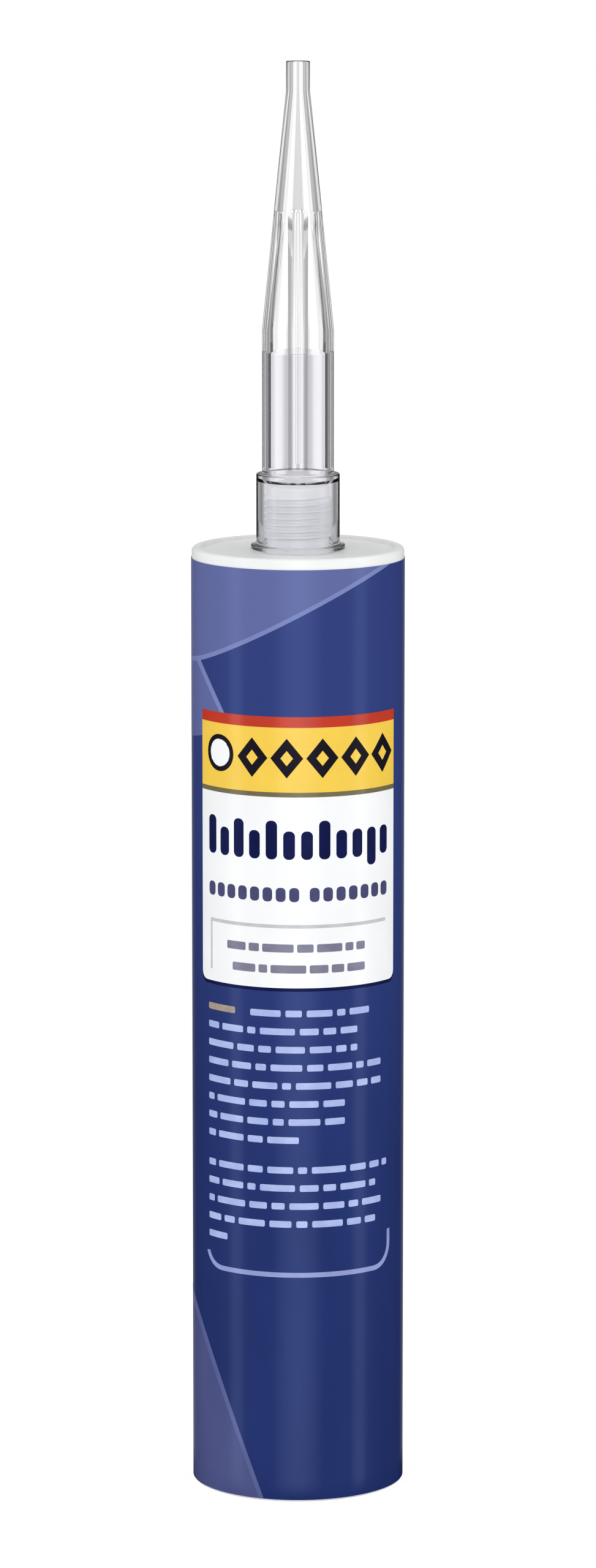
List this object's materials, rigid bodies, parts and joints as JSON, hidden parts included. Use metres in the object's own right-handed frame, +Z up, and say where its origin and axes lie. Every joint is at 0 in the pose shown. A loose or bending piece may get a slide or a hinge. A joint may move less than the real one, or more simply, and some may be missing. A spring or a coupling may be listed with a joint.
{
  "type": "caulk tube",
  "caption": "Round caulk cartridge with a printed film, a screw-on tapered nozzle, its sealant and a sliding piston that a gun pushes from the open end.",
  "frame": {"origin": "centre of the bottom rim, on the surface that the tube stands on", "axes": "+Z up the tube's axis to the nozzle, the label faces -Y"},
  "size_m": [0.0496, 0.0496, 0.3329],
  "materials": {
    "white_moulding": "moulded polyethylene, soft gloss",
    "film_blue": "printed film, glossy",
    "film_light_blue": "printed film, glossy",
    "label_red": "printed film, glossy",
    "label_yellow": "printed film, glossy",
    "label_white": "printed film, glossy",
    "acrylic_sealant": "smooth wet paste",
    "piston_moulding": "moulded polyethylene, satin",
    "clear_moulding": "clear moulded plastic, glossy"
  },
  "bodies": {
    "barrel": {"cartridge_barrel": "white_moulding", "cartridge_neck": "white_moulding", "printed_film": "film_blue", "film_upper_field": "film_light_blue", "film_side_field": "film_light_blue", "film_lower_field": "film_light_blue", "label_stripe": "label_red", "label_band": "label_yellow", "label_panel": "label_white", "sealant": "acrylic_sealant"},
    "piston": {"piston": "piston_moulding"},
    "nozzle": {"nozzle": "clear_moulding"}
  },
  "joints": [
    {"name": "piston_push", "type": "slide", "parent": "barrel", "child": "piston", "axis": [0, 0, 1], "range_m": [0, 0.179], "deforming": ["sealant"]},
    {"name": "nozzle_lift", "type": "slide", "parent": "barrel", "child": "nozzle", "axis": [0, 0, 1], "range_m": [0, 0.02]}
  ]
}
